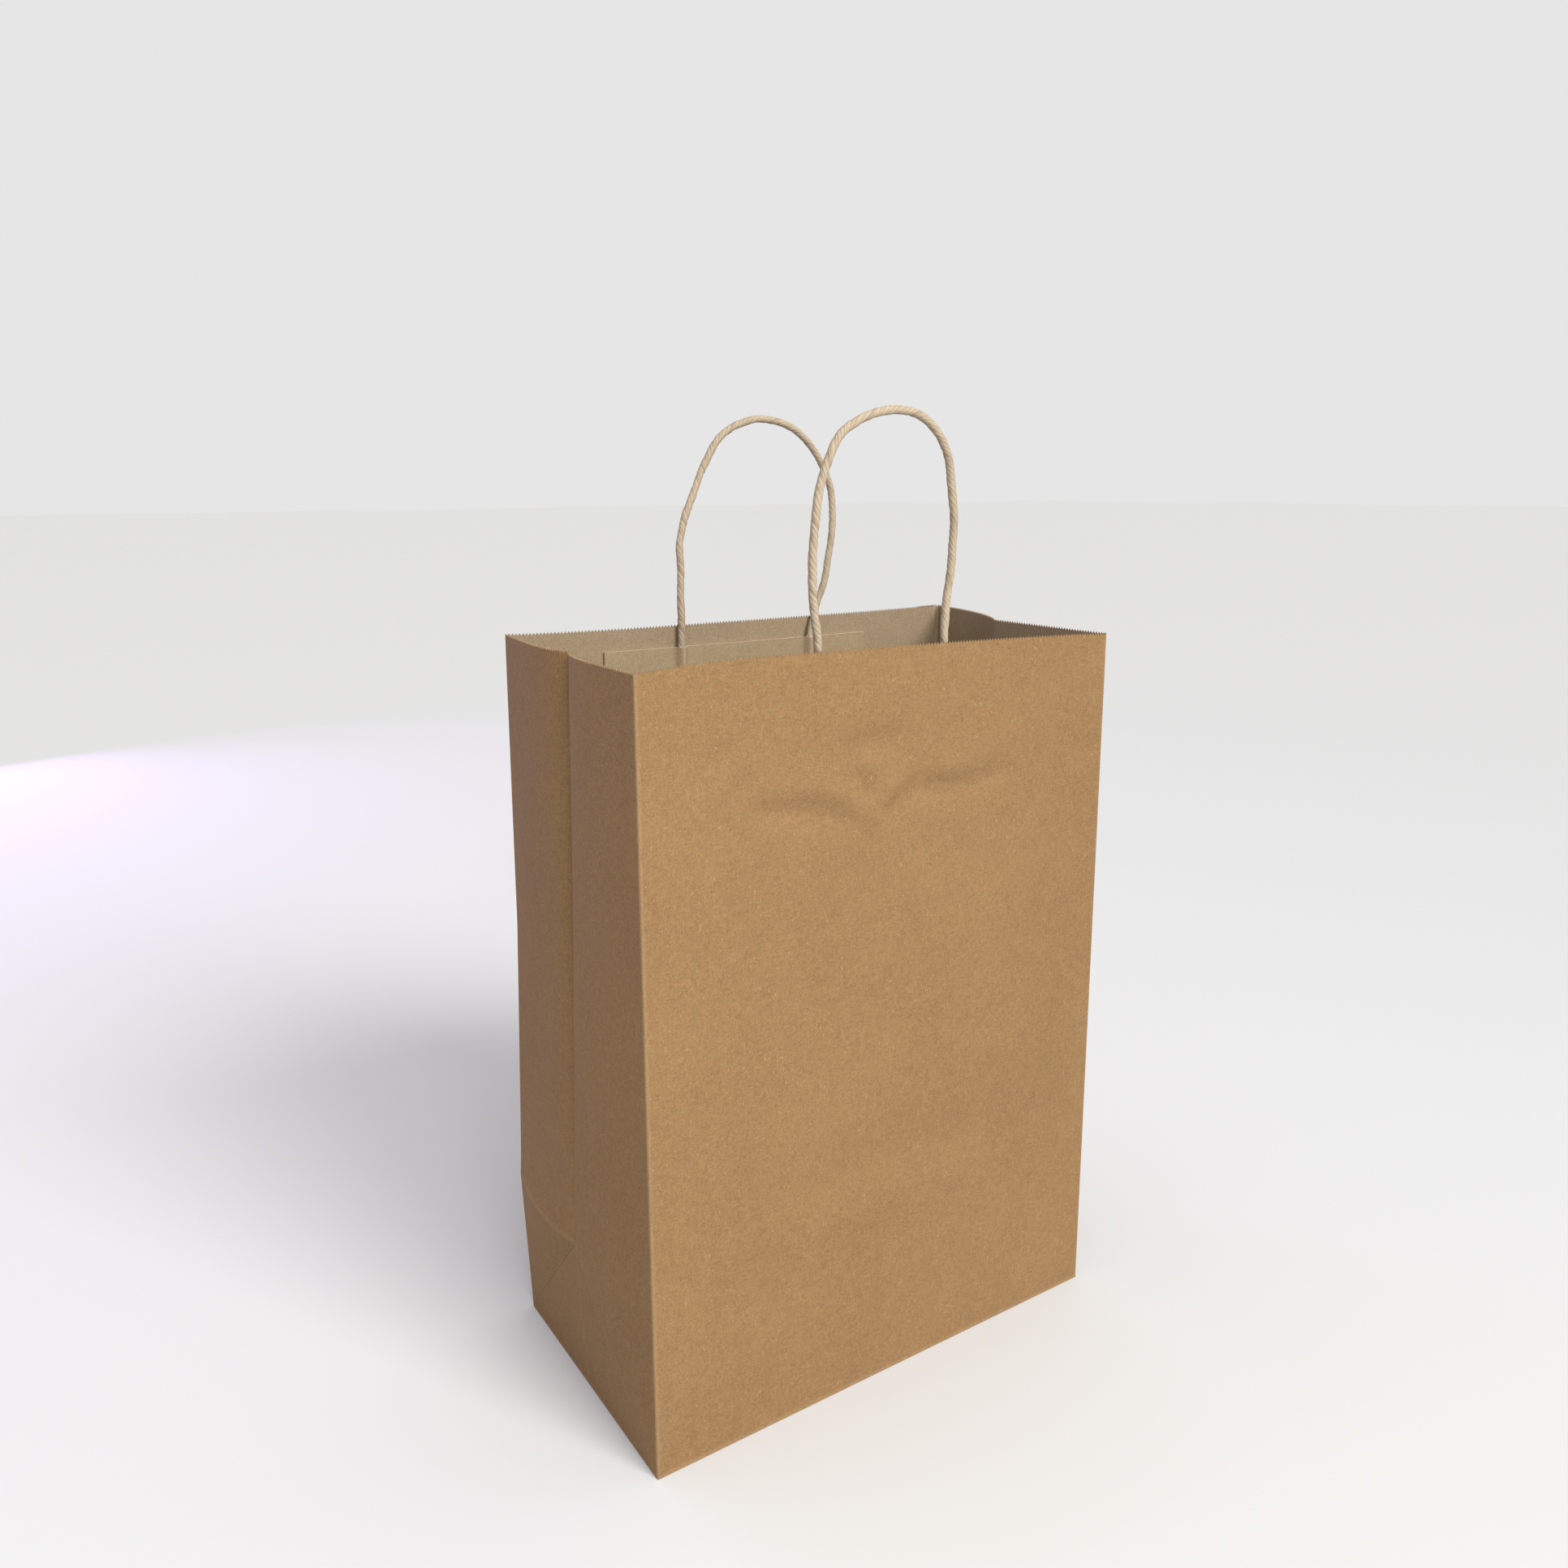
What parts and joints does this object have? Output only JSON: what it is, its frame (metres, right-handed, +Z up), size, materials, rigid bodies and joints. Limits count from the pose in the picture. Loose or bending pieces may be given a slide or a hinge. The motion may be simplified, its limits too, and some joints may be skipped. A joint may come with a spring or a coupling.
{
  "type": "gift bag",
  "caption": "Open-topped kraft paper carrier with a square block bottom, side gussets, a serrated mouth and twisted paper cord handles; it folds flat.",
  "frame": {"origin": "middle of the underside of the bottom, on the surface the bag stands on", "axes": "+Z up to the mouth, -Y out of the front panel, +X to the right seen from the front"},
  "size_m": [0.25, 0.144, 0.4341],
  "materials": {
    "kraft_paper": "matt brown kraft paper, faintly ribbed and speckled",
    "patch_paper": "matt kraft strip with torn pale edges",
    "cord": "tightly twisted pale kraft paper"
  },
  "bodies": {
    "base": {"bottom_flap_front": "kraft_paper", "bottom_flap_back": "kraft_paper", "bottom_end_fold_left": "kraft_paper", "bottom_end_fold_right": "kraft_paper"},
    "back_lower": {"back_panel_lower": "kraft_paper", "seam_lap_lower": "kraft_paper"},
    "back_upper": {"back_panel_upper": "kraft_paper", "seam_lap_upper": "kraft_paper", "patch_back_outer": "patch_paper", "patch_back_inner": "patch_paper", "handle_back_leg_left": "cord", "handle_back_leg_right": "cord"},
    "gusset_left_back": {"gusset_left_back": "kraft_paper"},
    "gusset_left_front": {"gusset_left_front": "kraft_paper"},
    "front": {"front_panel": "kraft_paper", "patch_front_outer": "patch_paper", "patch_front_inner": "patch_paper", "handle_front_leg_left": "cord", "handle_front_leg_right": "cord"},
    "gusset_right_back": {"gusset_right_back": "kraft_paper"},
    "gusset_right_front": {"gusset_right_front": "kraft_paper"},
    "gusset_left_corner": {"gusset_left_corner": "kraft_paper"},
    "gusset_right_corner": {"gusset_right_corner": "kraft_paper"},
    "gusset_left_foot": {"gusset_left_foot": "kraft_paper"},
    "gusset_right_foot": {"gusset_right_foot": "kraft_paper"},
    "handle_front": {"handle_front_loop": "cord"},
    "handle_back": {"handle_back_loop": "cord"}
  },
  "joints": [
    {"name": "fold", "type": "hinge", "parent": "base", "child": "back_lower", "pos_m": [0, 0.0711, 0.0037], "axis": [1, 0, 0], "range_deg": [0, 90]},
    {"name": "back_crease", "type": "hinge", "parent": "back_lower", "child": "back_upper", "pos_m": [0, 0.07215, 0.072], "axis": [1, 0, 0], "range_deg": [-180, 0]},
    {"name": "left_back_edge", "type": "hinge", "parent": "back_upper", "child": "gusset_left_back", "pos_m": [-0.125, 0.0702, 0], "axis": [0, 0, 1], "range_deg": [0, 86]},
    {"name": "left_centre_crease", "type": "hinge", "parent": "gusset_left_back", "child": "gusset_left_front", "pos_m": [-0.12515, -0.00035, 0], "axis": [0, 0, 1], "range_deg": [-172, 0]},
    {"name": "left_front_edge", "type": "hinge", "parent": "gusset_left_front", "child": "front", "pos_m": [-0.125, -0.0709, 0], "axis": [0, 0, 1], "range_deg": [0, 86]},
    {"name": "right_back_edge", "type": "hinge", "parent": "back_upper", "child": "gusset_right_back", "pos_m": [0.125, 0.0702, 0], "axis": [0, 0, 1], "range_deg": [-86, 0]},
    {"name": "right_centre_crease", "type": "hinge", "parent": "gusset_right_back", "child": "gusset_right_front", "pos_m": [0.12515, -0.00035, 0], "axis": [0, 0, 1], "range_deg": [0, 172]},
    {"name": "left_corner_edge", "type": "hinge", "parent": "back_lower", "child": "gusset_left_corner", "pos_m": [-0.125, 0.0702, 0], "axis": [0, 0, 1], "range_deg": [0, 90], "deforming": ["gusset_left_corner"]},
    {"name": "right_corner_edge", "type": "hinge", "parent": "back_lower", "child": "gusset_right_corner", "pos_m": [0.125, 0.0702, 0], "axis": [0, 0, 1], "range_deg": [-90, 0], "deforming": ["gusset_right_corner"]},
    {"name": "left_bottom_edge", "type": "hinge", "parent": "base", "child": "gusset_left_foot", "pos_m": [-0.125, 0, 0.0025], "axis": [0, 1, 0], "range_deg": [0, 90]},
    {"name": "right_bottom_edge", "type": "hinge", "parent": "base", "child": "gusset_right_foot", "pos_m": [0.125, 0, 0.0025], "axis": [0, 1, 0], "range_deg": [-90, 0]},
    {"name": "handle_front_swing", "type": "hinge", "parent": "front", "child": "handle_front", "pos_m": [0, -0.06885, 0.34], "axis": [-1, 0, 0], "range_deg": [-110, 40]},
    {"name": "handle_back_swing", "type": "hinge", "parent": "back_upper", "child": "handle_back", "pos_m": [0, 0.06815, 0.34], "axis": [1, 0, 0], "range_deg": [-110, 40]}
  ],
  "couplings": [
    {"joint": "back_crease", "follows": "fold", "ratio": -2},
    {"joint": "left_back_edge", "follows": "fold", "ratio": 0.9555},
    {"joint": "left_centre_crease", "follows": "fold", "ratio": -1.911},
    {"joint": "left_front_edge", "follows": "fold", "ratio": 0.9555},
    {"joint": "right_back_edge", "follows": "fold", "ratio": -0.9555},
    {"joint": "right_centre_crease", "follows": "fold", "ratio": 1.911},
    {"joint": "left_corner_edge", "follows": "fold", "ratio": 1},
    {"joint": "right_corner_edge", "follows": "fold", "ratio": -1},
    {"joint": "left_bottom_edge", "follows": "fold", "ratio": 1},
    {"joint": "right_bottom_edge", "follows": "fold", "ratio": -1}
  ]
}
